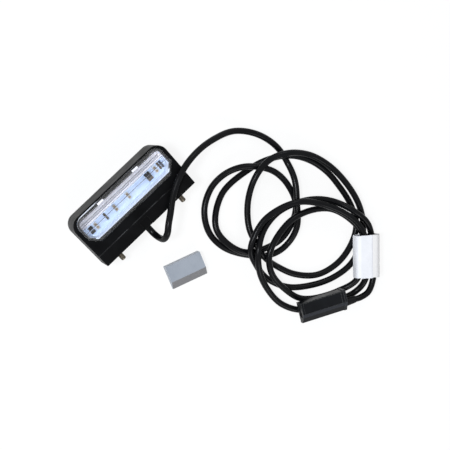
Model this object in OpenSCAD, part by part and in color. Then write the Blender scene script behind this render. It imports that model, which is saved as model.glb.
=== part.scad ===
// Number plate lamp with its board, its two studs and its lead.
// X runs along the lamp, Y from the mounting face to the top of the hood,
// Z from the flat back to the lens. All sizes are in millimetres.

/* [Lamp body] */
// length of the lamp along its mounting face
lamp_len = 107; // [104:1:120]
// height from the mounting face to the top of the hood
lamp_tall = 50; // [48:1:56]
// depth from the flat back to the front face
lamp_deep = 32; // [30:1:36]
// how much further each end stands out at the top of the hood
draft = 1; // [0:0.5:2]
// radius of the two upper corners
corner_r = 10.5; // [9:0.5:13]
// wall of the hood and of the base
wall = 2.2; // [1.8:0.1:2.6]
// height of the base under the seam
base_tall = 11.6; // [11.2:0.2:13]

/* [Lens] */
// plain front left at each end beside the lens
lens_margin = 3; // [2.5:0.5:6]
// height of the lens flange
lens_tall = 28.8; // [27:0.2:29.4]
// radius of the two upper corners of the lens
lens_r = 8.5; // [7.5:0.5:9]
// how much is cut off the two lower corners of the lens
lens_low_cut = 8.5; // [8:0.5:10]
// thickness of the clear plastic
lens_wall = 1.2; // [1:0.1:1.6]

/* [Board] */
// height of the circuit board
board_tall = 11; // [10:0.5:12]
// thickness of the circuit board
board_thick = 1.6; // [1.2:0.2:2]
// length of one light emitting diode
led_len = 3.6; // [3:0.2:4]

/* [Studs] */
// distance between the two studs
stud_pitch = 75; // [66:1:80]
// thread diameter of a stud
stud_d = 5; // [4:1:6]
// how far a stud stands out of the mounting face
stud_out = 9; // [8:1:20]

/* [Cable] */
// diameter of the cable jacket
cable_d = 6; // [5:0.5:6]
// diameter of one insulated core
core_d = 2; // [1.6:0.2:2.2]

/* [Connector] */
// length of the connector with its rear plate
plug_len = 46; // [42:1:50]
// width of the connector at its underside
plug_wide = 20; // [19:0.5:24]
// height of the connector body
plug_tall = 12; // [11.5:0.5:14]
// length of the tapered boot behind the connector
boot_len = 10; // [8:1:12]
// length of the loose connector cover
cover_len = 35; // [30:1:40]
// height of the loose connector cover
cover_tall = 9; // [8:0.5:12]

/* [Label] */
// length of the paper label along the cable
label_len = 42; // [30:1:43]
// width of the folded label
label_wide = 23.8; // [23.8:0.2:25]

/* [Hidden] */
$fn = 48;
tiny = 0.01;

face_y = -20.5;
top_y = face_y + lamp_tall;
seam_y = face_y + base_tall;
half_len = lamp_len / 2;
front_edge = 0.8;
front_wall = 2;
seam_groove = 0.5;
tongue_tall = 2;
tongue_wall = 1.3;
tongue_gap = 0.1;

// the window, the lens and what stands behind it share one centre line
lens_top_gap = 1.15;
lens_len = lamp_len - 2 * lens_margin;
lens_y = top_y - lens_top_gap - lens_tall / 2;
seal_thick = 0.4;
seal_inset = 0.4;
hole_inset = 1.3;
flange_z = lamp_deep + seal_thick;
flange_thick = 1.4;
flange_bevel = 0.7;
skirt_gap = 0.15;
skirt_deep = 5;
skirt_inset = hole_inset + skirt_gap;
skirt_end = 3;
skirt_len = lens_len - 2 * (lens_r + skirt_end);
tray_end_gap = 0.3;
tray_len = lens_len - 2 * (hole_inset + tray_end_gap);
tray_tall = lens_tall - 2 * (skirt_inset + lens_wall + skirt_gap);
tray_top_r = lens_r - 3.5;
tray_low_cut = lens_low_cut - 2;
tray_wall = 1;
tray_z = 17;
tray_floor = 1.5;
tray_rim_gap = 0.5;
tray_rim_z = flange_z - tray_rim_gap;
tab_x = [-0.24 * tray_len, 0.187 * tray_len];
tab_len = 6.5;
tab_out = 0.9;
tab_gap = 0.3;
tab_deep = 3;

// clear ribs inside the lens, and the sloping ridge along its middle
rib_count = 5;
rib_pitch = 1;
rib_tall = 0.45;
rib_low_y = lens_y + 3.35;
ridge_low_y = lens_y - 0.8;
ridge_wide = 3.6;
ridge_tall = 1.65;
rib_end_gap = 3;
rib_len = tray_len - 2 * (tray_wall + rib_end_gap);

// the board lies on the floor of the tray and is held by two stakes
board_gap = 0.6;
board_low_gap = 1;
board_len = tray_len - 2 * (tray_wall + board_gap);
board_z = tray_z + tray_floor;
board_top_z = board_z + board_thick;
board_y = lens_y - tray_tall / 2 + tray_wall + board_low_gap + board_tall / 2;
parts_y = board_y - 0.85;
stake_x = [-0.317 * board_len, 0.137 * board_len];
stake_y = board_y + 3.6;
stake_r = 0.9;
stake_cap_r = 1.4;
stake_cap = 0.6;
post_x = 0.355 * lamp_len;
post_y = 7.5;
post_r = 3;

// parts on the board, by their place along it
led_x = [-0.378, -0.136, 0.03, 0.387];
led_wide = 3;
led_tall = 1.5;
led_cup_r = 1.15;
led_cup_deep = 0.7;
resistor_x = [-0.254, 0.4355];
resistor_size = [1.9, 3.4, 0.7];
clamp_x = -0.4376;
clamp_size = [4.2, 2.6, 1.9];
reverse_x = 0.463;
reverse_size = [1.7, 3.6, 1.2];
capacitor_x = 0.294;
capacitor_size = [5, 4.4, 3];

// studs, held by their hexagon heads inside the base
stud_z = 15;
stud_r = stud_d / 2;
stud_shoulder = 0.6;
stud_gap = 0.1;
floor_thick = 3;
head_r = stud_r * 1.85;
head_tall = 3.5;
pocket_gap = 0.1;
pocket_wall = 1.5;
pocket_deep = head_tall + 1.5;
tip_cut = 0.8;

// the cable leaves down through a pocket in the mounting face
cable_r = cable_d / 2;
cable_x = -3;
cable_z = 17;
slot_wide = 9.4;
slot_tall = 8.5;
slot_z = cable_z - slot_wide / 2;
slot_y = face_y + slot_tall;
front_recess = 1.2;
gland_r = 3.4;
gland_hole_gap = 0.1;
gland_flange_r = 4.4;
gland_tip_r = 3.3;
gland_taper = 10.5;
gland_inner = 1.4;
gland_out_y = slot_y - gland_taper;
gland_in_y = slot_y + wall + gland_inner;

// the two cores run behind the tray and forward through it to the board
core_r = core_d / 2;
core_hole_gap = 0.3;
core_spread = 1.5;
joint_spread = 2.6;
joint_y = board_y + 2.8;
joint_r = 0.6;
joint_dome_r = 1.1;
joint_dome = 0.7;
core_low_z = 9;
core_bend = 3;
core_first = 3.6;

// the connector lies on the cable, with its mating end towards the lamp
plug_at = [52.9, -177, 6.8];
plug_turn = -28.2;
plate_thick = 2.5;
plate_grow = 0.5;
body_len = plug_len - plate_thick;
plug_top = 11.2;
bevel_wide = 3.6;
bevel_drop = 2.6;
foot_tall = 5;
edge_cut = 0.4;
panel_deep = 0.5;
panel_end = 2.4;
panel_side = 0.7;
mouth_at = [2.2, 2.4];
mouth_size = [12, 6.4];
mouth_deep = 3.4;
socket_at = [8.2, 5.6];
socket_gap = 6.8;
socket_r = 1.7;
socket_bore_r = 1.1;
socket_bore = 12;
socket_start = 1.6;
socket_len = 22.4;
socket_fit = 0.05;
chamber_from = 23.5;
chamber_at = [2, 2];
chamber_size = [13.6, 5.6];
seal_plate = 2.4;
seal_gap = 0.1;
boot_at = [13, 4.8];
boot_r = 4.2;
boot_end_r = 3.4;

// the cover lies on its open side, apart from the connector
cover_at = [-15.4, -63.2, 0];
cover_turn = -19.8;
cover_wall = 1.3;
cover_wide = 22.6;
cover_top = 15.3;
cover_foot = 3.5;
catch_len = 6;
catch_deep = 0.6;

// the label is a flattened paper sleeve round three turns of the cable
label_at = [132, -191.8, 6.5];
label_turn = 48.3;
label_thick = 0.35;
label_tall = 13.5;
label_low_r = 3;
label_top_r = 4.5;

// middle line of the cable, from the lamp to the connector
ROUTE = [
  [cable_x, gland_out_y, cable_z],
  [-3, -27, 17], [-3, -31.5, 18.5], [-2.5, -36, 23], [-1, -38, 31], [3.5, -34.9, 38.3], [10, -28.9, 40.3],
  [17, -24, 39], [32, -13, 37], [50, -4.5, 36.5], [70, -2, 31.5], [93, -6, 20],
  [117, -17, 7], [132, -35, 3], [138, -55, 3], [136, -74, 3], [129, -90, 8.5],
  [116, -107, 9.6], [101, -124, 8.5], [84, -131, 3], [66, -127, 3], [47, -108, 3],
  [37, -88, 3], [37, -69, 3], [48, -51, 3], [66, -41, 3], [84, -40, 5.5], [100, -46, 9.5],
  [113, -59, 10.1], [121, -74, 5.5], [122, -92, 3], [115, -110, 3], [97, -121, 3], [77, -122, 4.5],
  [47, -104, 9], [43, -72, 7], [70, -52, 3], [108, -54, 3], [127, -60, 8.5], [141, -70, 9.5],
  [153, -87, 5], [159, -107, 3], [159, -127, 3], [156, -147, 3], [148, -165, 3], [134, -175, 3],
  [111, -180, 3], [87, -174, 3], [71, -158, 3], [63, -140, 3], [58, -118, 13.8], [61, -105, 13],
  [67, -91, 9], [82, -73, 9.5], [101, -60, 15.3], [121, -57, 17], [138, -64, 17.5],
  [155, -82, 10.5], [163, -103, 9], [164.5, -126, 9.5], [161, -149, 9.5], [153.5, -169, 3.6],
  [140, -182, 3], [119, -190, 3], [96, -187, 3], [74, -176, 3], [57, -161, 3], [48, -141, 4.5],
  [48, -120, 12], [53, -105, 17.3], [76, -94, 20.5], [95, -95, 22.5], [114, -103, 23.5],
  [129, -119, 19], [140, -139, 17.5], [145, -157, 17.5], [143, -174, 16.4], [127, -188, 16],
  [111, -203, 10], [92.5, -200.8, 3.1], [61, -181, 3], [53, -159, 9.5], [53, -135, 16],
  [65, -119, 19.5], [102, -113, 17.4], [137, -135, 9.5], [145, -171, 10.2], [134.5, -190.5, 10.2],
  [118, -208.5, 10.2], [103, -213, 4], [71, -199, 3], [52, -187, 3], [42, -169, 3],
  [41, -145, 9], [46, -125, 17], [57, -110, 21], [75, -101, 16], [95, -99, 15], [115, -105, 16.5],
  [133, -118, 12.5], [145, -134, 11], [151, -151, 16], [154, -169, 13], [149, -183, 10.5],
  [136.5, -198.5, 10.4], [124, -213, 11], [111, -219.5, 11.6],
  plug_point(plug_len + boot_len + 6, boot_at[0], boot_at[1]),
  plug_point(plug_len + boot_len, boot_at[0], boot_at[1])
];
cable_sides = 10;
core_sides = 8;

// place of a point given along, across and above the connector's own corner
function plug_point(along, across, up) = [
  plug_at[0] + along * cos(plug_turn) + across * sin(plug_turn),
  plug_at[1] + along * sin(plug_turn) - across * cos(plug_turn),
  plug_at[2] + up
];

// tubes along a route of points
function unit(v) = v / norm(v);
function way(path, i) =
  i == 0 ? unit(path[1] - path[0]) :
  i == len(path) - 1 ? unit(path[i] - path[i - 1]) :
  unit(unit(path[i] - path[i - 1]) + unit(path[i + 1] - path[i]));
// two directions across the route; the first is kept at right angles to "up"
function ring_axes(path, i, up) =
  let (w = way(path, i), s = unit(cross(w, up)))
  [s, cross(s, w)];
function ring(path, i, r, sides, up) =
  let (axes = ring_axes(path, i, up))
  [for (k = [0 : sides - 1])
    let (a = 360 * (k + 0.5) / sides)
    path[i] + r * (cos(a) * axes[0] + sin(a) * axes[1])];

module tube_along(path, r, sides, up) {
  n = len(path);
  points = [for (i = [0 : n - 1]) each ring(path, i, r, sides, up)];
  skin = [for (i = [0 : n - 2], k = [0 : sides - 1])
    let (j = (k + 1) % sides)
    [i * sides + k, (i + 1) * sides + k, (i + 1) * sides + j, i * sides + j]];
  first = [for (k = [0 : sides - 1]) k];
  last = [for (k = [0 : sides - 1]) n * sides - 1 - k];
  polyhedron(points, concat([first], skin, [last]), convexity = 20);
}

// the lamp seen from the front, with sloping ends and two round upper corners
module body_outline(inset) {
  h = lamp_tall - inset;
  low = half_len - inset;
  r = corner_r - inset;
  lean = atan(draft / lamp_tall);
  cx = low + (sin(lean) * (h - r) - r) / cos(lean);
  cy = h - r;
  translate([0, face_y]) {
    polygon([[-low, 0], [low, 0], [cx + r * cos(lean), cy - r * sin(lean)], [cx, cy], [cx, h],
             [-cx, h], [-cx, cy], [-cx - r * cos(lean), cy - r * sin(lean)]]);
    for (s = [-1, 1]) translate([s * cx, cy]) circle(r);
  }
}

module between(low_y, high_y) {
  translate([-lamp_len, low_y]) square([2 * lamp_len, high_y - low_y]);
}

module part_outline(inset, low_y, high_y) {
  intersection() {
    body_outline(inset);
    between(low_y, high_y);
  }
}

// the window is rounded at its two upper corners and cut off at the lower two
module window_outline(long, tall, top_r, low_cut, inset) {
  w = long / 2 - inset;
  h = tall / 2 - inset;
  r = top_r - inset;
  cut = low_cut - inset * (2 - sqrt(2));
  translate([0, lens_y]) {
    polygon([[cut - w, -h], [w - cut, -h], [w, cut - h], [w, h - r], [w - r, h],
             [r - w, h], [-w, h - r], [-w, cut - h]]);
    for (s = [-1, 1]) translate([s * (w - r), h - r]) circle(r);
  }
}

module lens_outline(inset) {
  window_outline(lens_len, lens_tall, lens_r, lens_low_cut, inset);
}

module tray_outline(inset) {
  window_outline(tray_len, tray_tall, tray_top_r, tray_low_cut, inset);
}

module slab(z1, z2) {
  translate([0, 0, z1]) linear_extrude(z2 - z1) children();
}

// a plate whose front edge is cut back all round
module bevelled(z1, z2, cut) {
  slab(z1, z2 - cut) children(0);
  hull() {
    slab(z2 - cut - tiny, z2 - cut) children(0);
    slab(z2 - tiny, z2) children(1);
  }
}

// along the Y axis, from the given y
module along_y(x, y, z) {
  translate([x, y, z]) rotate([-90, 0, 0]) children();
}

module hood() {
  color("#151515") {
    difference() {
      bevelled(0, lamp_deep, front_edge) {
        part_outline(0, seam_y, top_y);
        part_outline(front_edge, seam_y, top_y);
      }
      slab(wall, lamp_deep - front_wall) part_outline(wall, seam_y - 1, top_y);
      slab(lamp_deep - front_wall - 1, lamp_deep + 1) lens_outline(hole_inset);
    }
    for (x = [-post_x, post_x], y = [lens_y - post_y, lens_y + post_y])
      translate([x, y, wall - tiny]) cylinder(r = post_r, h = tray_z - wall + tiny);
  }
}

module base_shell() {
  inner = wall + tongue_gap + tongue_wall;
  difference() {
    union() {
      bevelled(0, lamp_deep, front_edge) {
        part_outline(0, face_y, seam_y - seam_groove);
        part_outline(front_edge, face_y, seam_y - seam_groove);
      }
      slab(seam_groove, lamp_deep - seam_groove)
        part_outline(seam_groove, seam_y - 1, seam_y);
      slab(wall + tongue_gap, lamp_deep - front_wall - tongue_gap)
        part_outline(wall + tongue_gap, seam_y - 1, seam_y + tongue_tall);
    }
    slab(inner, lamp_deep - inner)
      part_outline(inner, face_y + floor_thick, seam_y + tongue_tall + 1);
  }
}

module base() {
  head_y = face_y + floor_thick;
  color("#171717") difference() {
    union() {
      base_shell();
      for (s = [-1, 1]) along_y(s * stud_pitch / 2, head_y - tiny, stud_z)
        cylinder(r = head_r + pocket_gap + pocket_wall, h = pocket_deep);
      translate([cable_x - slot_wide / 2 - wall, head_y - tiny, slot_z - wall])
        cube([slot_wide + 2 * wall, slot_y + wall - head_y + tiny, slot_wide + 2 * wall]);
    }
    for (s = [-1, 1]) {
      along_y(s * stud_pitch / 2, face_y - 1, stud_z)
        cylinder(r = stud_r + stud_shoulder + stud_gap, h = floor_thick + 2);
      along_y(s * stud_pitch / 2, head_y, stud_z)
        cylinder(r = head_r + pocket_gap, h = pocket_deep + 1, $fn = 6);
    }
    translate([cable_x - slot_wide / 2, face_y - 1, slot_z])
      cube([slot_wide, slot_tall + 1, slot_wide]);
    translate([cable_x - slot_wide / 2, face_y - 1, lamp_deep - front_recess])
      cube([slot_wide, slot_tall + 1, front_recess + 1]);
    along_y(cable_x, slot_y - 1, cable_z)
      cylinder(r = gland_r + gland_hole_gap, h = wall + 2);
  }
}

// a long triangle inside the lens, deepest at the given place across it
module lens_ridge(low_y, wide, tall, deepest) {
  translate([-rib_len / 2, low_y, flange_z]) rotate([90, 0, 90])
    linear_extrude(rib_len) polygon([[0, tiny], [wide, tiny], [deepest, -tall]]);
}

module lens() {
  skirt_low_y = lens_y - lens_tall / 2 + skirt_inset;
  color("#dfe8f0", 0.35) {
    bevelled(flange_z, flange_z + flange_thick, flange_bevel) {
      lens_outline(0);
      lens_outline(flange_bevel);
    }
    difference() {
      for (y = [skirt_low_y, skirt_low_y + lens_tall - 2 * skirt_inset - lens_wall])
        translate([-skirt_len / 2, y, flange_z - skirt_deep])
          cube([skirt_len, lens_wall, skirt_deep + tiny]);
      for (x = tab_x) translate([x - tab_gap, lens_y, flange_z - skirt_deep - 1])
        cube([tab_len + 2 * tab_gap, lens_tall, skirt_deep + 1]);
    }
    for (i = [0 : rib_count - 1])
      lens_ridge(rib_low_y + i * rib_pitch, rib_pitch, rib_tall, rib_pitch);
    lens_ridge(ridge_low_y, ridge_wide, ridge_tall, 0);
  }
}

module lens_seal() {
  color("#0c0c0c") slab(lamp_deep, flange_z) difference() {
    lens_outline(seal_inset);
    lens_outline(skirt_inset);
  }
}

module reflector_tray() {
  color("#f4f4f2") {
    difference() {
      slab(tray_z, tray_rim_z) tray_outline(0);
      slab(board_z, tray_rim_z + 1) tray_outline(tray_wall);
      for (s = [-1, 1]) translate([cable_x + s * joint_spread, joint_y, tray_z - 1])
        cylinder(r = core_r + core_hole_gap, h = tray_floor + 2);
    }
    for (x = tab_x) translate([x, lens_y + tray_tall / 2 - tray_wall / 2, tray_rim_z - tab_deep])
      cube([tab_len, tray_wall / 2 + tab_out, tab_deep]);
    for (x = stake_x) translate([x, stake_y, board_z - tiny]) {
      cylinder(r = stake_r, h = board_thick + 2 * tiny);
      translate([0, 0, board_thick + tiny]) cylinder(r = stake_cap_r, h = stake_cap);
    }
  }
}

module circuit_board() {
  color("#c9d9ee") difference() {
    slab(board_z, board_top_z) intersection() {
      tray_outline(tray_wall + board_gap);
      between(board_y - board_tall / 2, board_y + board_tall / 2);
    }
    for (x = stake_x) translate([x, stake_y, board_z - 1]) cylinder(r = stake_r, h = board_thick + 2);
    for (s = [-1, 1]) translate([cable_x + s * joint_spread, joint_y, board_z - 1])
      cylinder(r = joint_r, h = board_thick + 2);
  }
}

module on_board(share) {
  translate([share * board_len, parts_y, board_top_z]) children();
}

module chip(size) {
  translate([-size[0] / 2, -size[1] / 2, 0]) cube(size);
}

module led_bodies() {
  color("#f2f2ee") for (x = led_x) on_board(x) difference() {
    chip([led_wide, led_len, led_tall]);
    translate([0, 0, led_tall - led_cup_deep]) cylinder(r = led_cup_r, h = led_cup_deep + 1);
  }
}

module led_phosphor() {
  color("#e2c65a") for (x = led_x) on_board(x)
    translate([0, 0, led_tall - led_cup_deep]) cylinder(r = led_cup_r, h = led_cup_deep);
}

module resistors() {
  color("#8a6f52") for (x = resistor_x) on_board(x) chip(resistor_size);
}

module clamp_diode() {
  color("#202020") on_board(clamp_x) chip(clamp_size);
}

module reverse_diode() {
  color("#262a33") on_board(reverse_x) chip(reverse_size);
}

module capacitor() {
  color("#2a241f") on_board(capacitor_x) chip(capacitor_size);
}

module wire_joints() {
  color("#c8c8c4") for (s = [-1, 1]) translate([cable_x + s * joint_spread, joint_y, board_z]) {
    cylinder(r = joint_r, h = board_thick + tiny);
    translate([0, 0, board_thick]) cylinder(r1 = joint_dome_r, r2 = joint_r, h = joint_dome);
  }
}

module stud(x) {
  color("#b9b2a6") along_y(x, face_y - stud_out, stud_z) {
    cylinder(r1 = stud_r - tip_cut, r2 = stud_r, h = tip_cut);
    translate([0, 0, tip_cut]) cylinder(r = stud_r, h = stud_out - tip_cut);
    translate([0, 0, stud_out]) cylinder(r = stud_r + stud_shoulder, h = floor_thick + tiny);
    translate([0, 0, stud_out + floor_thick]) cylinder(r = head_r, h = head_tall, $fn = 6);
  }
}

module stud_left() {
  stud(-stud_pitch / 2);
}

module stud_right() {
  stud(stud_pitch / 2);
}

module cable_gland() {
  color("#101010") along_y(cable_x, gland_out_y, cable_z) {
    cylinder(r1 = gland_tip_r, r2 = gland_flange_r, h = gland_taper);
    translate([0, 0, gland_taper - tiny]) cylinder(r = gland_r, h = wall + 2 * tiny);
    translate([0, 0, gland_taper + wall]) cylinder(r = gland_flange_r, h = gland_inner);
  }
}

// one core from the gland, down behind the tray and up to the board
module core(s) {
  x1 = cable_x + s * core_spread;
  x2 = cable_x + s * joint_spread;
  first_y = gland_in_y + core_first;
  tube_along([
    [x1, gland_in_y, cable_z], [x1, first_y, cable_z], [x1, first_y + core_bend, cable_z - core_bend],
    [x1, first_y + 2 * core_bend, core_low_z + 1], [x1, first_y + 3 * core_bend, core_low_z],
    [x2, joint_y - core_bend, core_low_z], [x2, joint_y - 0.8, core_low_z + 0.8],
    [x2, joint_y, core_low_z + core_bend], [x2, joint_y, board_z]
  ], core_r, core_sides, [1, 0, 0]);
}

module core_live() {
  color("#7a3b22") core(-1);
}

module core_earth() {
  color("#f0f0f0") core(1);
}

module cable() {
  color("#141414") tube_along(ROUTE, cable_r, cable_sides, [0, 0, 1]);
}

// the connector's own corner; X runs to the cable, Y to the bevelled side
module at_plug() {
  translate(plug_at) rotate([0, 0, plug_turn]) mirror([0, 1, 0]) children();
}

module plug_section(grow) {
  cut = edge_cut + grow;
  polygon([
    [-grow, 0], [-grow, plug_tall + grow - cut], [cut - grow, plug_tall + grow],
    [plug_top, plug_tall + grow], [plug_top + bevel_wide + grow, plug_tall - bevel_drop],
    [plug_wide + grow, foot_tall], [plug_wide + grow, 0]
  ]);
}

// a piece of the connector's section between two places along it
module plug_run(from, to, grow) {
  translate([from, 0, 0]) rotate([90, 0, 90]) linear_extrude(to - from) plug_section(grow);
}

module plug_holes(r, from, to) {
  for (s = [-0.5, 0.5]) translate([from, socket_at[0] + s * socket_gap, socket_at[1]])
    rotate([0, 90, 0]) cylinder(r = r, h = to - from);
}

module connector_body() {
  color("#1d1e20") at_plug() difference() {
    plug_run(0, body_len, 0);
    translate([panel_end, panel_side, plug_tall - panel_deep])
      cube([body_len - 2 * panel_end, plug_top - panel_side, 1]);
    translate([-1, mouth_at[0], mouth_at[1]])
      cube([mouth_deep + 1, mouth_size[0], mouth_size[1]]);
    plug_holes(socket_r + socket_fit, mouth_deep - 1, chamber_from + 1);
    translate([chamber_from, chamber_at[0], chamber_at[1]])
      cube([body_len - chamber_from + 1, chamber_size[0], chamber_size[1]]);
  }
}

module connector_rear_plate() {
  color("#26272a") at_plug() plug_run(body_len, plug_len, plate_grow);
}

module connector_boot() {
  color("#151515") at_plug() translate([plug_len, boot_at[0], boot_at[1]])
    rotate([0, 90, 0]) cylinder(r1 = boot_r, r2 = boot_end_r, h = boot_len);
}

module connector_sockets() {
  color("#c9a24a") at_plug() difference() {
    plug_holes(socket_r, socket_start, socket_start + socket_len);
    plug_holes(socket_bore_r, socket_start - 1, socket_start + socket_bore);
  }
}

// inside the connector, from the rear plate to the two sockets
module connector_cores() {
  ends = [core_spread - 0.3, -core_spread + 0.3];
  color("#7a3b22") at_plug() for (i = [0, 1]) {
    y1 = boot_at[0] - ends[i];
    y2 = socket_at[0] + (i - 0.5) * socket_gap;
    tube_along([
      [body_len, y1, boot_at[1]], [body_len - 4, y1, boot_at[1]],
      [(body_len + chamber_from) / 2 + 1, (y1 + y2) / 2, boot_at[1] + 0.3],
      [chamber_from + 5, y2, boot_at[1] + 0.6], [socket_start + socket_len, y2, boot_at[1] + 0.6]
    ], core_r, core_sides, [0, 0, 1]);
  }
}

module connector_seal() {
  color("#26282b") at_plug() difference() {
    translate([mouth_deep - seal_plate, mouth_at[0] + seal_gap, mouth_at[1] + seal_gap])
      cube([seal_plate, mouth_size[0] - 2 * seal_gap, mouth_size[1] - 2 * seal_gap]);
    plug_holes(socket_r, mouth_deep - seal_plate - 1, mouth_deep + 1);
  }
}

module cover_section(inset, foot) {
  polygon([
    [inset, foot], [inset, cover_tall - inset], [cover_top - inset / 2, cover_tall - inset],
    [cover_wide - inset, cover_foot - inset / 2], [cover_wide - inset, foot]
  ]);
}

module connector_cover() {
  color("#8f969f") translate(cover_at) rotate([0, 0, cover_turn]) mirror([0, 1, 0]) {
    rotate([90, 0, 90]) difference() {
      linear_extrude(cover_len) cover_section(0, 0);
      translate([0, 0, cover_wall]) linear_extrude(cover_len) cover_section(cover_wall, -1);
    }
    translate([(cover_len - catch_len) / 2, cover_wall - tiny, 0])
      cube([catch_len, catch_deep, catch_deep]);
  }
}

// the sleeve seen along the cable, with softer corners on top
module sleeve_outline(inset) {
  w = label_wide / 2 - inset;
  low = label_low_r - inset;
  top = label_top_r - inset;
  hull() for (s = [-1, 1]) {
    translate([s * (w - low), inset + low]) circle(low);
    translate([s * (w - top), label_tall - inset - top]) circle(top);
  }
}

module cable_label() {
  color("#f6f6f4") translate(label_at) rotate([0, 0, label_turn]) rotate([90, 0, 90])
    translate([0, 0, -label_len / 2]) linear_extrude(label_len) difference() {
      sleeve_outline(0);
      sleeve_outline(label_thick);
    }
}

hood();
base();
lens();
lens_seal();
reflector_tray();
circuit_board();
led_bodies();
led_phosphor();
resistors();
clamp_diode();
reverse_diode();
capacitor();
wire_joints();
stud_left();
stud_right();
cable_gland();
core_live();
core_earth();
cable();
connector_body();
connector_rear_plate();
connector_boot();
connector_sockets();
connector_cores();
connector_seal();
connector_cover();
cable_label();
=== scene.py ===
import bpy
import bmesh
import math
from mathutils import Matrix, Vector, noise


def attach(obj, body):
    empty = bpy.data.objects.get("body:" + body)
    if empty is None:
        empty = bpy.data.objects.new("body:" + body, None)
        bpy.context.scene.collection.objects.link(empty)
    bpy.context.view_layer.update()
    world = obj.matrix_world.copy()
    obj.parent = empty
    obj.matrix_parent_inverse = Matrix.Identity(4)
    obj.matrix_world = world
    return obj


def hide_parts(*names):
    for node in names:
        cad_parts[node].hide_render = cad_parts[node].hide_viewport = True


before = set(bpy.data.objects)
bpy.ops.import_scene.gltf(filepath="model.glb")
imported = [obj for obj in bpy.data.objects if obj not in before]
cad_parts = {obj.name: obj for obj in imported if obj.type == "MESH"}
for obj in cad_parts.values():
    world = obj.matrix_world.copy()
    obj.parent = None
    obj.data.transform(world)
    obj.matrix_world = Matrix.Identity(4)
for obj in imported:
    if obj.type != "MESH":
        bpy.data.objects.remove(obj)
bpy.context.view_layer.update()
MM = 0.001


def mm(x, y, z):
    return Vector((x * MM, y * MM, z * MM))


# Camera: fitted to the photograph.
FOCAL_PX, PHOTO_PX, SENSOR_MM = 1150.0, 450.0, 36.0
RIGHT = Vector((0.70623821, -0.64783287, 0.28555239))
DOWN = Vector((-0.69120921, -0.7181961, 0.08015101))
AHEAD = Vector((0.15315816, -0.25398215, -0.95500558))
EYE = mm(-110.36, 194.64, 1018.26)

cam_data = bpy.data.cameras.new("camera")
cam_data.sensor_fit = "HORIZONTAL"
cam_data.sensor_width = SENSOR_MM
cam_data.lens = SENSOR_MM * FOCAL_PX / PHOTO_PX
cam_data.clip_start = 0.05
cam_data.clip_end = 20.0
cam = bpy.data.objects.new("camera", cam_data)
bpy.context.scene.collection.objects.link(cam)
cam.matrix_world = Matrix((
    (RIGHT.x, -DOWN.x, -AHEAD.x, EYE.x),
    (RIGHT.y, -DOWN.y, -AHEAD.y, EYE.y),
    (RIGHT.z, -DOWN.z, -AHEAD.z, EYE.z),
    (0, 0, 0, 1)))
bpy.context.scene.camera = cam


# Shader helpers.
def new_material(name):
    mat = bpy.data.materials.new(name)
    mat.use_nodes = True
    mat.node_tree.nodes.clear()
    return mat, mat.node_tree.nodes, mat.node_tree.links


def coords(nodes):
    return nodes.new("ShaderNodeTexCoord").outputs["Object"]


def noise_node(nodes, links, scale, detail=4.0, rough=0.55, vector=None):
    n = nodes.new("ShaderNodeTexNoise")
    n.inputs["Scale"].default_value = scale
    n.inputs["Detail"].default_value = detail
    n.inputs["Roughness"].default_value = rough
    links.new(vector if vector is not None else coords(nodes), n.inputs["Vector"])
    return n.outputs["Fac"]


def ramp(nodes, links, fac, stops):
    r = nodes.new("ShaderNodeValToRGB")
    els = r.color_ramp.elements
    while len(els) < len(stops):
        els.new(0.5)
    for el, (pos, col) in zip(els, stops):
        el.position = pos
        el.color = (*col, 1.0)
    links.new(fac, r.inputs["Fac"])
    return r.outputs["Color"]


def value_range(nodes, links, fac, low, high):
    r = nodes.new("ShaderNodeMapRange")
    r.inputs["From Min"].default_value = 0.3
    r.inputs["From Max"].default_value = 0.7
    r.inputs["To Min"].default_value = low
    r.inputs["To Max"].default_value = high
    links.new(fac, r.inputs["Value"])
    return r.outputs["Result"]


def bump(nodes, links, height, strength, distance, normal=None):
    b = nodes.new("ShaderNodeBump")
    b.inputs["Strength"].default_value = strength
    b.inputs["Distance"].default_value = distance
    links.new(height, b.inputs["Height"])
    if normal is not None:
        links.new(normal, b.inputs["Normal"])
    return b.outputs["Normal"]


CLOUD_SCALE, SMEAR_SCALE, ROUGH_SPREAD = 45.0, 90.0, 0.06
WEAR_RADIUS, WEAR_FROM, WEAR_TO = 0.0005, 0.99, 0.8


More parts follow.
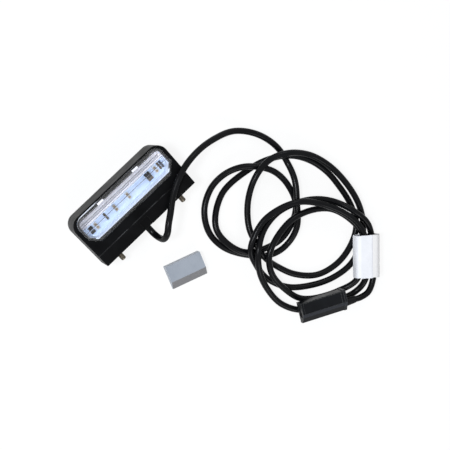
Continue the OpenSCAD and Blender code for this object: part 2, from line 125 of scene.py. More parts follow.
def plastic(name, dark, light, rough, grain, grain_depth,
            spec=0.5, wear=0.0, worn=(0.2, 0.2, 0.2)):
    """Moulded plastic: two tones mixed by cloudy noise, fine grain as bump, worn edges."""
    mat, nodes, links = new_material(name)
    bsdf = nodes.new("ShaderNodeBsdfPrincipled")
    out = nodes.new("ShaderNodeOutputMaterial")
    bsdf.inputs["Specular IOR Level"].default_value = spec
    cloud = noise_node(nodes, links, CLOUD_SCALE, 5.0)
    colour = ramp(nodes, links, cloud, [(0.35, dark), (0.65, light)])
    if wear > 0:
        bevel = nodes.new("ShaderNodeBevel")
        bevel.samples = 4
        bevel.inputs["Radius"].default_value = WEAR_RADIUS
        geo = nodes.new("ShaderNodeNewGeometry")
        dot = nodes.new("ShaderNodeVectorMath")
        dot.operation = "DOT_PRODUCT"
        links.new(bevel.outputs["Normal"], dot.inputs[0])
        links.new(geo.outputs["Normal"], dot.inputs[1])
        edge = nodes.new("ShaderNodeMapRange")
        edge.inputs["From Min"].default_value = WEAR_FROM
        edge.inputs["From Max"].default_value = WEAR_TO
        edge.inputs["To Min"].default_value = 0.0
        edge.inputs["To Max"].default_value = wear
        links.new(dot.outputs["Value"], edge.inputs["Value"])
        mix = nodes.new("ShaderNodeMixRGB")
        links.new(edge.outputs["Result"], mix.inputs["Fac"])
        links.new(colour, mix.inputs["Color1"])
        mix.inputs["Color2"].default_value = (*worn, 1.0)
        colour = mix.outputs["Color"]
    links.new(colour, bsdf.inputs["Base Color"])
    smear = noise_node(nodes, links, SMEAR_SCALE, 3.0)
    links.new(value_range(nodes, links, smear, rough - ROUGH_SPREAD, rough + ROUGH_SPREAD),
              bsdf.inputs["Roughness"])
    fine = noise_node(nodes, links, grain, 2.0)
    links.new(bump(nodes, links, fine, 0.35, grain_depth), bsdf.inputs["Normal"])
    links.new(bsdf.outputs["BSDF"], out.inputs["Surface"])
    return mat


def join(mat, how, one, two):
    """Joins two sockets or numbers by one Math operation."""
    node = mat.node_tree.nodes.new("ShaderNodeMath")
    node.operation = how
    for socket, value in zip(node.inputs, (one, two)):
        if isinstance(value, (int, float)):
            socket.default_value = value
        else:
            mat.node_tree.links.new(value, socket)
    return node.outputs["Value"]


def between(mat, value, low, high, soft):
    """A mask that is 1 where a value in metres lies between two places in millimetres."""
    nodes, links = mat.node_tree.nodes, mat.node_tree.links
    sides = []
    for place, start, end in ((low, 0.0, 1.0), (high, 1.0, 0.0)):
        r = nodes.new("ShaderNodeMapRange")
        r.inputs["From Min"].default_value = (place - soft) * MM
        r.inputs["From Max"].default_value = (place + soft) * MM
        r.inputs["To Min"].default_value = start
        r.inputs["To Max"].default_value = end
        links.new(value, r.inputs["Value"])
        sides.append(r.outputs["Result"])
    return join(mat, "MULTIPLY", *sides)


def band(mat, axis, low, high, soft=0.06):
    """A mask that is 1 between two places along an axis of the frame, in millimetres."""
    nodes, links = mat.node_tree.nodes, mat.node_tree.links
    sep = nodes.new("ShaderNodeSeparateXYZ")
    links.new(coords(nodes), sep.inputs["Vector"])
    return between(mat, sep.outputs[axis], low, high, soft)


def patches(mat, scale, low, high):
    """Soft patches of noise, from low to high."""
    nodes, links = mat.node_tree.nodes, mat.node_tree.links
    return value_range(nodes, links, noise_node(nodes, links, scale, 2.0), low, high)


def facing(mat, low, high):
    """A mask that is 1 on faces whose normal's upward share lies between low and high."""
    nodes, links = mat.node_tree.nodes, mat.node_tree.links
    geo = nodes.new("ShaderNodeNewGeometry")
    sep = nodes.new("ShaderNodeSeparateXYZ")
    links.new(geo.outputs["Normal"], sep.inputs["Vector"])
    return join(mat, "MULTIPLY", join(mat, "GREATER_THAN", sep.outputs["Z"], low),
                join(mat, "LESS_THAN", sep.outputs["Z"], high))


def paint(mat, mask, colour):
    """Mixes a colour over the base colour where the mask is 1."""
    nodes, links = mat.node_tree.nodes, mat.node_tree.links
    bsdf = next(n for n in nodes if n.type == "BSDF_PRINCIPLED")
    under = bsdf.inputs["Base Color"].links[0].from_socket
    mix = nodes.new("ShaderNodeMixRGB")
    links.new(mask, mix.inputs["Fac"])
    links.new(under, mix.inputs["Color1"])
    mix.inputs["Color2"].default_value = (*colour, 1.0)
    links.new(mix.outputs["Color"], bsdf.inputs["Base Color"])


def give(node, mat):
    """Puts one material on a CAD node."""
    ob = bpy.data.objects[node]
    ob.data.materials.clear()
    ob.data.materials.append(mat)


# The lead: the route of the part's source, in millimetres, from the lamp to the connector.
def plug_point(along, across, up):
    turn = math.radians(-28.2)
    return (52.9 + along * math.cos(turn) + across * math.sin(turn),
            -177 + along * math.sin(turn) - across * math.cos(turn), 6.8 + up)


ROUTE = [
    (-3, -22.5, 17),
    (-3, -27, 17), (-3, -31.5, 18.5), (-2.5, -36, 23), (-1, -38, 31),
    (3.5, -34.9, 38.3), (10, -28.9, 40.3),
    (17, -24, 39), (32, -13, 37), (50, -4.5, 36.5), (70, -2, 31.5), (93, -6, 20),
    (117, -17, 7), (132, -35, 3), (138, -55, 3), (136, -74, 3), (129, -90, 8.5),
    (116, -107, 9.6), (101, -124, 8.5), (84, -131, 3), (66, -127, 3), (47, -108, 3),
    (37, -88, 3), (37, -69, 3), (48, -51, 3), (66, -41, 3), (84, -40, 5.5), (100, -46, 9.5),
    (113, -59, 10.1), (121, -74, 5.5), (122, -92, 3), (115, -110, 3), (97, -121, 3), (77, -122, 4.5),
    (47, -104, 9), (43, -72, 7), (70, -52, 3), (108, -54, 3), (127, -60, 8.5), (141, -70, 9.5),
    (153, -87, 5), (159, -107, 3), (159, -127, 3), (156, -147, 3), (148, -165, 3), (134, -175, 3),
    (111, -180, 3), (87, -174, 3), (71, -158, 3), (63, -140, 3), (58, -118, 13.8), (61, -105, 13),
    (67, -91, 9), (82, -73, 9.5), (101, -60, 15.3), (121, -57, 17), (138, -64, 17.5),
    (155, -82, 10.5), (163, -103, 9), (164.5, -126, 9.5), (161, -149, 9.5), (153.5, -169, 3.6),
    (140, -182, 3), (119, -190, 3), (96, -187, 3), (74, -176, 3), (57, -161, 3), (48, -141, 4.5),
    (48, -120, 12), (53, -105, 17.3), (76, -94, 20.5), (95, -95, 22.5), (114, -103, 23.5),
    (129, -119, 19), (140, -139, 17.5), (145, -157, 17.5), (143, -174, 16.4), (127, -188, 16),
    (111, -203, 10), (92.5, -200.8, 3.1), (61, -181, 3), (53, -159, 9.5), (53, -135, 16),
    (65, -119, 19.5), (102, -113, 17.4), (137, -135, 9.5), (145, -171, 10.2), (134.5, -190.5, 10.2),
    (118, -208.5, 10.2), (103, -213, 4), (71, -199, 3), (52, -187, 3), (42, -169, 3),
    (41, -145, 9), (46, -125, 17), (57, -110, 21), (75, -101, 16), (95, -99, 15), (115, -105, 16.5),
    (133, -118, 12.5), (145, -134, 11), (151, -151, 16), (154, -169, 13), (149, -183, 10.5),
    (136.5, -198.5, 10.4), (124, -213, 11), (111, -219.5, 11.6),
    plug_point(62, 13, 4.8), plug_point(56, 13, 4.8),
]
LEAD_D = 6.0
LEAD_CLEAR = 0.02


def smooth_spline(points, low):
    """Bezier points and handles through the route, never under the surface."""
    n = len(points)
    pts = [Vector(p) for p in points]
    first = 2 * pts[0] - pts[1]
    last = 2 * pts[-1] - pts[-2]
    full = [first] + pts + [last]
    gaps = [math.sqrt((full[i + 1] - full[i]).length) for i in range(n + 1)]
    left, right = [], []
    for i in range(n):
        p0, p1, p2 = full[i], full[i + 1], full[i + 2]
        d0, d1 = gaps[i], gaps[i + 1]
        ahead = (d0 * d0 * p2 - d1 * d1 * p0
                 + (2 * d0 * d0 + 3 * d0 * d1 + d1 * d1) * p1) / (3 * d0 * (d0 + d1))
        back = (d1 * d1 * p0 - d0 * d0 * p2
                + (2 * d1 * d1 + 3 * d1 * d0 + d0 * d0) * p1) / (3 * d1 * (d0 + d1))
        right.append(ahead)
        left.append(back)
    for group in (left, right):
        for p in group:
            p.z = max(p.z, low)
    return pts, left, right


lead_pts, lead_left, lead_right = smooth_spline(ROUTE, LEAD_D / 2 + LEAD_CLEAR)

curve = bpy.data.curves.new("lead", "CURVE")
curve.dimensions = "3D"
curve.bevel_depth = 1.0  # times the radius of each point
curve.bevel_resolution = 5
curve.resolution_u = 8
curve.use_fill_caps = True
spline = curve.splines.new("BEZIER")
spline.bezier_points.add(len(lead_pts) - 1)
for bp, p, l, r in zip(spline.bezier_points, lead_pts, lead_left, lead_right):
    bp.handle_left_type = "FREE"
    bp.handle_right_type = "FREE"
    bp.co = p * MM
    bp.handle_left = l * MM
    bp.handle_right = r * MM
    bp.radius = LEAD_D / 2 * MM
lead = bpy.data.objects.new("lead", curve)
bpy.context.scene.collection.objects.link(lead)
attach(lead, "root")
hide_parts("cable")


# Materials of the lamp.
hood_mat = plastic("hood_plastic", (0.003, 0.0031, 0.0034), (0.0055, 0.0057, 0.0063),
                   0.38, 2600.0, 0.00003, spec=0.025, wear=0.05)
base_mat = plastic("base_plastic", (0.0028, 0.0028, 0.0031), (0.0048, 0.0049, 0.0053),
                   0.42, 2600.0, 0.00004, spec=0.035, wear=0.08)
# painted highlight: a thin light line, broken into dashes, is painted on the moulded edges that meet
# at the parting line
SEAM_LOW, SEAM_HIGH = -9.15, -8.65
for moulding in (hood_mat, base_mat):
    seam_highlight = band(moulding, "Y", SEAM_LOW, SEAM_HIGH, 0.1)
    paint(moulding, join(moulding, "MULTIPLY", seam_highlight, patches(moulding, 70.0, -0.4, 1.0)),
          (0.12, 0.12, 0.125))
seal_mat = plastic("seal_rubber", (0.005, 0.005, 0.005), (0.009, 0.009, 0.009),
                   0.7, 1800.0, 0.00005, spec=0.3)
white_mat = plastic("white_plastic", (0.88, 0.84, 0.84), (0.94, 0.9, 0.9),
                    0.35, 1200.0, 0.00002)
# the lower part of the tray is a little bluer
paint(white_mat, band(white_mat, "Y", -40, 16), (0.82, 0.88, 0.97))
# painted shade: the rim of the tray is painted dark, as if in the shade of the seal; only its two
# tabs keep their white
rim_shade = join(white_mat, "MULTIPLY", band(white_mat, "Z", 31.55, 40),
           join(white_mat, "SUBTRACT", 1.0, band(white_mat, "Y", 2.85, 5)))
tabs = join(white_mat, "MAXIMUM", band(white_mat, "X", -23.5, -17.0),
            band(white_mat, "X", 18.3, 24.8))
tabs = join(white_mat, "MULTIPLY", tabs, band(white_mat, "Y", 20, 40))
rim_shade = join(white_mat, "MULTIPLY", rim_shade, join(white_mat, "SUBTRACT", 1.0, tabs))
paint(white_mat, rim_shade, (0.02, 0.021, 0.026))
board_mat = plastic("board_mask", (0.6, 0.72, 0.93), (0.7, 0.8, 0.97), 0.3, 900.0, 0.00003)
led_mat = plastic("led_body", (0.36, 0.34, 0.32), (0.8, 0.79, 0.77), 0.4, 1500.0, 0.00002)
phosphor_mat = plastic("led_phosphor", (0.2, 0.13, 0.07), (0.42, 0.31, 0.19),
                       0.2, 2200.0, 0.00003)
resistor_mat = plastic("resistor_body", (0.03, 0.022, 0.017), (0.12, 0.085, 0.055),
                       0.4, 1500.0, 0.00002, spec=0.15)
diode_mat = plastic("diode_body", (0.002, 0.002, 0.0025), (0.004, 0.004, 0.005),
                    0.45, 2400.0, 0.00004, spec=0.05)
reverse_mat = plastic("reverse_diode_body", (0.01, 0.012, 0.02), (0.03, 0.036, 0.06),
                      0.4, 2400.0, 0.00004, spec=0.15)
cap_mat = plastic("capacitor_body", (0.1, 0.08, 0.062), (0.24, 0.2, 0.16),
                  0.4, 2400.0, 0.00004, spec=0.12)
# a dark band along the upper half of the capacitor
paint(cap_mat, band(cap_mat, "Y", 9.4, 20), (0.002, 0.002, 0.003))
jacket_mat = plastic("jacket", (0.0025, 0.0026, 0.0031), (0.004, 0.0042, 0.0052),
                     0.25, 400.0, 0.000001, spec=0.09)
boot_mat = plastic("boot_rubber", (0.004, 0.004, 0.0045), (0.007, 0.007, 0.008),
                   0.4, 1800.0, 0.00004, spec=0.1)
plug_mat = plastic("connector_plastic", (0.0035, 0.004, 0.005), (0.006, 0.007, 0.0085),
                   0.34, 2200.0, 0.00004, spec=0.09, wear=0.45)
plate_mat = plastic("rear_plate_plastic", (0.006, 0.0065, 0.008), (0.010, 0.011, 0.013),
                    0.38, 2200.0, 0.00004, spec=0.12, wear=0.45)
# painted sheen: the bevels of the connector and of its cover are painted in a lighter, bluer tone
# that stands for the light they catch
for moulding in (plug_mat, plate_mat):
    paint(moulding, facing(moulding, 0.78, 0.93), (0.022, 0.024, 0.03))
plug_seal_mat = plastic("connector_seal_rubber", (0.006, 0.0065, 0.008), (0.01, 0.011, 0.013),
                        0.55, 1800.0, 0.00004, spec=0.35)
cover_mat = plastic("cover_plastic", (0.235, 0.262, 0.305), (0.28, 0.307, 0.352),
                    0.42, 1900.0, 0.00005, wear=0.6, worn=(0.42, 0.46, 0.54))
# painted shade: the sloped faces of the cover are painted darker and less blue than its flat top and
# its sides
paint(cover_mat, facing(cover_mat, 0.3, 0.93), (0.16, 0.158, 0.165))
brown_mat = plastic("core_brown", (0.14, 0.03, 0.015), (0.22, 0.05, 0.025), 0.4, 1500.0, 0.00004)
pale_mat = plastic("core_white", (0.78, 0.78, 0.78), (0.86, 0.86, 0.86), 0.4, 1500.0, 0.00004)


def metal(name, dark, light, rough):
    mat, nodes, links = new_material(name)
    bsdf = nodes.new("ShaderNodeBsdfPrincipled")
    out = nodes.new("ShaderNodeOutputMaterial")
    bsdf.inputs["Metallic"].default_value = 1.0
    cloud = noise_node(nodes, links, 300.0, 5.0)
    links.new(ramp(nodes, links, cloud, [(0.35, dark), (0.65, light)]), bsdf.inputs["Base Color"])
    links.new(value_range(nodes, links, cloud, rough + 0.1, rough - 0.05), bsdf.inputs["Roughness"])
    fine = noise_node(nodes, links, 2500.0, 2.0)
    links.new(bump(nodes, links, fine, 0.3, 0.00003), bsdf.inputs["Normal"])
    links.new(bsdf.outputs["BSDF"], out.inputs["Surface"])
    return mat


steel_mat = metal("stud_steel", (0.2, 0.18, 0.15), (0.34, 0.31, 0.26), 0.38)
brass_mat = metal("contact_brass", (0.55, 0.38, 0.14), (0.7, 0.5, 0.2), 0.28)
solder_mat = metal("solder", (0.5, 0.5, 0.48), (0.66, 0.66, 0.64), 0.3)


def clear_plastic(name):
    """Clear moulded plastic that lets light through to what lies behind it."""
    mat, nodes, links = new_material(name)
    out = nodes.new("ShaderNodeOutputMaterial")
    glass = nodes.new("ShaderNodeBsdfPrincipled")
    glass.inputs["Transmission Weight"].default_value = 1.0
    glass.inputs["IOR"].default_value = 1.49
    glass.inputs["Specular IOR Level"].default_value = 0.12
    tint = ramp(nodes, links, noise_node(nodes, links, 60.0, 3.0),
                [(0.3, (0.965, 0.975, 1.0)), (0.7, (0.99, 0.99, 1.0))])
    links.new(tint, glass.inputs["Base Color"])
    smear = noise_node(nodes, links, 140.0, 4.0)
    links.new(value_range(nodes, links, smear, 0.01, 0.05), glass.inputs["Roughness"])
    wave = noise_node(nodes, links, 90.0, 2.0)
    links.new(bump(nodes, links, wave, 0.08, 0.0001), glass.inputs["Normal"])
    clear = nodes.new("ShaderNodeBsdfTransparent")
    clear.inputs["Color"].default_value = (0.95, 0.97, 1.0, 1.0)
    path = nodes.new("ShaderNodeLightPath")
    either = nodes.new("ShaderNodeMath")
    either.operation = "MAXIMUM"
    links.new(path.outputs["Is Shadow Ray"], either.inputs[0])
    links.new(path.outputs["Is Diffuse Ray"], either.inputs[1])
    mix = nodes.new("ShaderNodeMixShader")
    links.new(either.outputs["Value"], mix.inputs["Fac"])
    links.new(glass.outputs["BSDF"], mix.inputs[1])
    links.new(clear.outputs["BSDF"], mix.inputs[2])
    links.new(mix.outputs["Shader"], out.inputs["Surface"])
    return mat


def tone(mat, mask, colour, rough):
    """Lays a thin opaque tone over the clear plastic where the mask is 1."""
    nodes, links = mat.node_tree.nodes, mat.node_tree.links
    out = next(n for n in nodes if n.type == "OUTPUT_MATERIAL")
    under = out.inputs["Surface"].links[0].from_socket
    bsdf = nodes.new("ShaderNodeBsdfPrincipled")
    bsdf.inputs["Base Color"].default_value = (*colour, 1.0)
    bsdf.inputs["Roughness"].default_value = rough
    mix = nodes.new("ShaderNodeMixShader")
    links.new(mask, mix.inputs["Fac"])
    links.new(under, mix.inputs[1])
    links.new(bsdf.outputs["BSDF"], mix.inputs[2])
    links.new(mix.outputs["Shader"], out.inputs["Surface"])


lens_mat = clear_plastic("lens_clear")
# painted shade: thin dark lines are laid over the steep sides of the ridge and of the ribs inside
# the lens
inner_face = band(lens_mat, "Z", 29.0, 33.0)
LENS_SHADE_LINES = ((12.95, 13.35, 0.85), (17.4, 17.8, 0.7), (19.45, 19.85, 0.75), (21.4, 21.8, 0.7))
for low, high, share in LENS_SHADE_LINES:
    shade_line = join(lens_mat, "MULTIPLY", inner_face, band(lens_mat, "Y", low, high))
    tone(lens_mat, join(lens_mat, "MULTIPLY", shade_line, share), (0.05, 0.045, 0.06), 0.4)
# painted highlights: light glints are laid over the bevel round the lens, stronger at its left end
# along the top
slant = join(lens_mat, "MULTIPLY", facing(lens_mat, 0.35, 0.93), band(lens_mat, "Z", 33.0, 34.5))
painted_glints = join(lens_mat, "MULTIPLY", slant, patches(lens_mat, 35.0, -0.15, 0.14))
tone(lens_mat, painted_glints, (0.75, 0.8, 0.9), 0.25)
painted_bright_end = join(lens_mat, "MULTIPLY", band(lens_mat, "X", -44, -24, 3.0),
                  band(lens_mat, "Y", 24, 40))
painted_bright_end = join(lens_mat, "MULTIPLY", slant, painted_bright_end)
tone(lens_mat, join(lens_mat, "MULTIPLY", painted_bright_end, 0.7), (0.85, 0.9, 1.0), 0.25)

FINISHES = {
    "hood": hood_mat,
    "base": base_mat,
    "lens": lens_mat,
    "lens_seal": seal_mat,
    "reflector_tray": white_mat,
    "circuit_board": board_mat,
    "led_bodies": led_mat,
    "led_phosphor": phosphor_mat,
    "resistors": resistor_mat,
    "clamp_diode": diode_mat,
    "reverse_diode": reverse_mat,
    "capacitor": cap_mat,
    "wire_joints": solder_mat,
    "stud_left": steel_mat,
    "stud_right": steel_mat,
    "cable_gland": seal_mat,
    "core_live": brown_mat,
    "core_earth": pale_mat,
    "connector_body": plug_mat,
    "connector_rear_plate": plate_mat,
    "connector_boot": boot_mat,
    "connector_sockets": brass_mat,
    "connector_cores": brown_mat,
    "connector_seal": plug_seal_mat,
    "connector_cover": cover_mat,
}
for cad_node, finish in FINISHES.items():
    give(cad_node, finish)
lead.data.materials.append(jacket_mat)


def paper(name):
    mat, nodes, links = new_material(name)
    bsdf = nodes.new("ShaderNodeBsdfPrincipled")
    out = nodes.new("ShaderNodeOutputMaterial")
    cloud = noise_node(nodes, links, 60.0, 5.0)
    links.new(ramp(nodes, links, cloud, [(0.3, (0.74, 0.745, 0.78)), (0.7, (0.8, 0.8, 0.83))]),
              bsdf.inputs["Base Color"])
    bsdf.inputs["Roughness"].default_value = 0.55
    fibre = noise_node(nodes, links, 1400.0, 3.0)
    links.new(bump(nodes, links, fibre, 0.2, 0.00004), bsdf.inputs["Normal"])
    links.new(bsdf.outputs["BSDF"], out.inputs["Surface"])
    return mat


paper_mat = paper("label_paper")


def new_piece(name, rings, mat, closed_ends=True, smooth=True):
    """A skin through rings of points, given in millimetres; every ring has as many points."""
    bm = bmesh.new()
    rows = [[bm.verts.new(mm(*p)) for p in ring] for ring in rings]
    count = len(rows[0])
    for low, high in zip(rows, rows[1:]):
        for k in range(count):
            bm.faces.new((low[k], low[(k + 1) % count], high[(k + 1) % count], high[k]))
    if closed_ends:
        bm.faces.new(list(reversed(rows[0])))
        bm.faces.new(rows[-1])
    bmesh.ops.recalc_face_normals(bm, faces=bm.faces)
    for face in bm.faces:
        face.smooth = smooth
    mesh = bpy.data.meshes.new(name)
    bm.to_mesh(mesh)
    bm.free()
    mesh.materials.append(mat)
    piece = bpy.data.objects.new(name, mesh)
    bpy.context.scene.collection.objects.link(piece)
    return piece


# The studs, with the rolled thread of an M5 bolt on the end that stands out.
STUD_R, STUD_TIP_Y, STUD_Z, STUD_OUT, FLOOR_THICK = 2.5, -29.5, 15.0, 9.0, 3.0
THREAD_PITCH, THREAD_DEEP, TIP_CUT, THREAD_END, THREAD_FADE = 0.8, 0.45, 0.8, 8.4, 0.8
STUD_SIDES, THREAD_STEP, END_R, SHOULDER, HEAD_TALL = 40, 0.1, 0.6, 0.6, 3.5


def stud_piece(name, node, x, phase):
    """A threaded stud with its shoulder and hexagon head; phase turns the thread."""
    def ring(along, radius):
        """radius is a number, or a function of the angle."""
        out_ring = []
        for k in range(STUD_SIDES):
            a = 2 * math.pi * k / STUD_SIDES
            r = radius(a) if callable(radius) else radius
            out_ring.append((x + r * math.cos(a), STUD_TIP_Y + along, STUD_Z + r * math.sin(a)))
        return out_ring

    def thread(along):
        def radius(a):
            turn = (along / THREAD_PITCH - a / (2 * math.pi) + phase) % 1.0
            groove = min(1.0, max(0.0, 1.35 * abs(2 * turn - 1) - 0.1))
            fade = min(1.0, max(0.0, (THREAD_END - along) / THREAD_FADE))
            r = STUD_R - THREAD_DEEP * (1 - groove) * fade
            return min(r, STUD_R - TIP_CUT + along)
        return radius

    rings = [ring(0, END_R), ring(0, thread(0))]
    steps = int(STUD_OUT / THREAD_STEP)
    rings += [ring(STUD_OUT * i / steps, thread(STUD_OUT * i / steps)) for i in range(1, steps)]
    hexagon = STUD_R * 1.85
    head = STUD_OUT + FLOOR_THICK

    def flats(a):
        from_corner = (a + math.pi / 6) % (math.pi / 3) - math.pi / 6
        return hexagon * math.cos(math.pi / 6) / math.cos(from_corner)

    rings += [ring(STUD_OUT, STUD_R), ring(STUD_OUT, STUD_R + SHOULDER),
              ring(head, STUD_R + SHOULDER), ring(head, flats),
              ring(head + HEAD_TALL, flats), ring(head + HEAD_TALL, END_R)]
    piece = new_piece(name, rings, steel_mat, smooth=False)
    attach(piece, "root")
    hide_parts(node)


stud_piece("stud_thread_left", "stud_left", -37.5, 0.0)
stud_piece("stud_thread_right", "stud_right", 37.5, 0.37)

# The label: a strip of paper wrapped round three turns of the lead, creased where it turns down.
LABEL_AT, LABEL_TURN = (132, -191.8, 6.5), 48.3
LABEL_LEN, LABEL_WIDE, LABEL_TALL = 42.0, 23.8, 13.5
LABEL_LOW_R, LABEL_TOP_R, PAPER = 3.0, 4.5, 0.3
CORNER_STEPS, SIDE_STEPS, LABEL_ROWS = 8, 22, 56
CREASE = -3.4


def sleeve_ring(steps):
    """Points round the sleeve, across and up, with their outward directions."""
    w = LABEL_WIDE / 2
    corners = [(w - LABEL_LOW_R, LABEL_LOW_R, LABEL_LOW_R, -90),
               (w - LABEL_TOP_R, LABEL_TALL - LABEL_TOP_R, LABEL_TOP_R, 0),
               (-w + LABEL_TOP_R, LABEL_TALL - LABEL_TOP_R, LABEL_TOP_R, 90),
               (-w + LABEL_LOW_R, LABEL_LOW_R, LABEL_LOW_R, 180)]
    ring = []
    for n, (cu, cv, r, start) in enumerate(corners):
        for k in range(CORNER_STEPS + 1):
            a = math.radians(start + 90 * k / CORNER_STEPS)
            ring.append((cu + r * math.cos(a), cv + r * math.sin(a), math.cos(a), math.sin(a)))
        nu, nv, nr, _ = corners[(n + 1) % 4]
        a = math.radians(start + 90)
        u0, v0 = cu + r * math.cos(a), cv + r * math.sin(a)
        u1, v1 = nu + nr * math.cos(a), nv + nr * math.sin(a)
        for k in range(1, steps):
            t = k / steps
            ring.append((u0 + (u1 - u0) * t, v0 + (v1 - v0) * t, math.cos(a), math.sin(a)))
    return ring


def label_piece():
    """The sleeve of paper, open at both ends, with its inner and outer skin."""
    ring = sleeve_ring(SIDE_STEPS)
    turn = math.radians(LABEL_TURN)

    def place(along, u, v):
        return (LABEL_AT[0] + along * math.cos(turn) - u * math.sin(turn),
                LABEL_AT[1] + along * math.sin(turn) + u * math.cos(turn), LABEL_AT[2] + v)

    def proud(along, u, v):
        """How far the paper stands off the turns: flat over two, then a crease and a bulge."""
        if v < 5:
            return 0.0
        wave = 0.5 + 0.5 * noise.noise(Vector((along * 0.09, u * 0.16, 3.1)))
        crinkle = abs(noise.noise(Vector((along * 0.3, u * 0.22, 9.4))))
        crease_u = CREASE + 0.6 * noise.noise(Vector((along * 0.06, 0.0, 5.5)))
        off = abs(u - crease_u)
        crease = max(0.0, 1.0 - off / 0.9)
        bulge = 0.55 * math.exp(-((u + 7.6) / 2.6) ** 2)
        return (0.16 + 0.3 * wave - 0.16 * crinkle + bulge) * (1 - crease)

    def end(u, v, side):
        """How far the cut edge stands back; the outer third sits a little further along."""
        ripple = 0.25 * noise.noise(Vector((u * 0.25, v * 0.3, 20.0 * side)))
        over = (u - CREASE) / 15.0
        if side > 0:
            return ripple + (0.2 if over < 0 else 0.35 + 0.7 * over)
        return ripple + (1.0 if over < 0 else 0.15 + 0.55 * over)

    outer, inner = [], []
    for i in range(LABEL_ROWS + 1):
        t = i / LABEL_ROWS
        ring_out, ring_in = [], []
        for u, v, du, dv in ring:
            low = -LABEL_LEN / 2 + max(0.0, end(u, v, -1))
            high = LABEL_LEN / 2 - max(0.0, end(u, v, 1))
            along = low + (high - low) * t
            stand = proud(along, u, v)
            ring_out.append(place(along, u + du * stand, v + dv * stand))
            ring_in.append(place(along, u + du * (stand - PAPER), v + dv * (stand - PAPER)))
        outer.append(ring_out)
        inner.append(ring_in)
    piece = new_piece("label_sleeve", outer + list(reversed(inner)) + [outer[0]], paper_mat,
                      closed_ends=False)
    bm = bmesh.new()
    bm.from_mesh(piece.data)
    bmesh.ops.remove_doubles(bm, verts=bm.verts, dist=0.00001)
    bmesh.ops.recalc_face_normals(bm, faces=bm.faces)
    bm.to_mesh(piece.data)
    bm.free()
    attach(piece, "root")
    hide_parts("cable_label")
    return piece


label = label_piece()


def across_label(low, high, soft):
    """A mask that is 1 between two places across the label, from its middle."""
    nodes, links = paper_mat.node_tree.nodes, paper_mat.node_tree.links
    turn = math.radians(LABEL_TURN)
    dot = nodes.new("ShaderNodeVectorMath")
    dot.operation = "DOT_PRODUCT"
    dot.inputs[1].default_value = (-math.sin(turn), math.cos(turn), 0)
    links.new(coords(nodes), dot.inputs[0])
    middle = -LABEL_AT[0] * math.sin(turn) + LABEL_AT[1] * math.cos(turn)
    return between(paper_mat, dot.outputs["Value"], middle + low, middle + high, soft)


# painted shade: the part that turns down is painted darker, in a slightly warmer paper tone, with a
# dark line at the crease and one further out, at the bulge
paint(paper_mat, across_label(-30, CREASE, 0.3), (0.7, 0.685, 0.68))
for low, high, soft_edge, share, colour in ((-3.75, -3.1, 0.25, 0.6, (0.5, 0.5, 0.56)),
                                            (-8.4, -7.6, 0.4, 0.35, (0.6, 0.59, 0.6))):
    shade_line = across_label(low, high, soft_edge)
    paint(paper_mat, join(paper_mat, "MULTIPLY", shade_line, share), colour)


# Floor, world and lamps.
CENTRE = (0.05, -0.08, 0.0)
FLOOR_R, FLOOR_DROP, FLOOR_WHITE = 4.0, -0.0002, 0.86


def shows_background(owner):
    """1 for the rays that show the plain white background: camera, glossy and transmission."""
    path = owner.node_tree.nodes.new("ShaderNodeLightPath")
    glow = join(owner, "MAXIMUM", path.outputs["Is Glossy Ray"],
                path.outputs["Is Transmission Ray"])
    return join(owner, "MAXIMUM", path.outputs["Is Camera Ray"], glow)


floor_mat, floor_nodes, floor_links = new_material("floor")
floor_out = floor_nodes.new("ShaderNodeOutputMaterial")
matt = floor_nodes.new("ShaderNodeBsdfDiffuse")
pale = ramp(floor_nodes, floor_links, noise_node(floor_nodes, floor_links, 3.0),
            [(0.3, (0.93, 0.93, 0.93)), (0.7, (0.95, 0.95, 0.95))])
floor_links.new(pale, matt.inputs["Color"])
white = floor_nodes.new("ShaderNodeEmission")
white.inputs["Strength"].default_value = 1.0
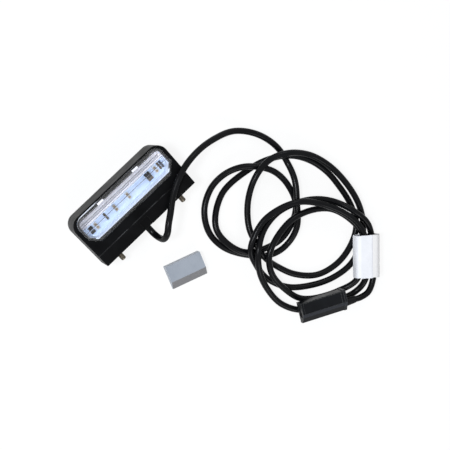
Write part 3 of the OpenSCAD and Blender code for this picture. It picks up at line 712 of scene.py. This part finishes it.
# what the white doesn't cover keeps the shadow
floor_mix = floor_nodes.new("ShaderNodeMixShader")
floor_links.new(join(floor_mat, "MULTIPLY", shows_background(floor_mat), FLOOR_WHITE),
                floor_mix.inputs["Fac"])
floor_links.new(matt.outputs["BSDF"], floor_mix.inputs[1])
floor_links.new(white.outputs["Emission"], floor_mix.inputs[2])
floor_links.new(floor_mix.outputs["Shader"], floor_out.inputs["Surface"])

bm = bmesh.new()
bmesh.ops.create_circle(bm, cap_ends=True, segments=96, radius=FLOOR_R)
floor_mesh = bpy.data.meshes.new("floor")
bm.to_mesh(floor_mesh)
bm.free()
floor = bpy.data.objects.new("floor", floor_mesh)
floor.location = (CENTRE[0], CENTRE[1], FLOOR_DROP)
floor_mesh.materials.append(floor_mat)
bpy.context.scene.collection.objects.link(floor)

world = bpy.data.worlds.new("world")
bpy.context.scene.world = world
world.use_nodes = True
world_nodes, world_links = world.node_tree.nodes, world.node_tree.links
world_nodes.clear()


def sky(colour, strength):
    node = world_nodes.new("ShaderNodeBackground")
    node.inputs["Color"].default_value = (*colour, 1.0)
    node.inputs["Strength"].default_value = strength
    return node.outputs["Background"]


world_out = world_nodes.new("ShaderNodeOutputWorld")
world_mix = world_nodes.new("ShaderNodeMixShader")
world_links.new(shows_background(world), world_mix.inputs["Fac"])
world_links.new(sky((0.9, 0.95, 1.0), 0.35), world_mix.inputs[1])
world_links.new(sky((1.0, 1.0, 1.0), 1.0), world_mix.inputs[2])
world_links.new(world_mix.outputs["Shader"], world_out.inputs["Surface"])


def softbox(name, place, size, watts, colour=(1, 1, 1)):
    """A soft studio lamp that points at the middle of the object."""
    light = bpy.data.lights.new(name, "AREA")
    light.shape = "RECTANGLE"
    light.size, light.size_y = size
    light.energy = watts
    light.color = colour
    ob = bpy.data.objects.new(name, light)
    ob.location = place
    ob.rotation_euler = (Vector(CENTRE) - Vector(place)).to_track_quat("-Z", "Y").to_euler()
    bpy.context.scene.collection.objects.link(ob)


softbox("left_softbox", (-1.1, 0.9, 1.3), (0.6, 0.45), 7.0)
softbox("right_softbox", (1.3, 0.7, 1.1), (0.7, 0.5), 5.0)
softbox("front_softbox", (-0.7, -1.3, 1.2), (0.9, 0.7), 10.0)
softbox("top_softbox", (-0.5, 0.5, 1.45), (0.3, 0.25), 17.0, (0.92, 0.96, 1.0))

bpy.context.scene.view_settings.view_transform = "Standard"
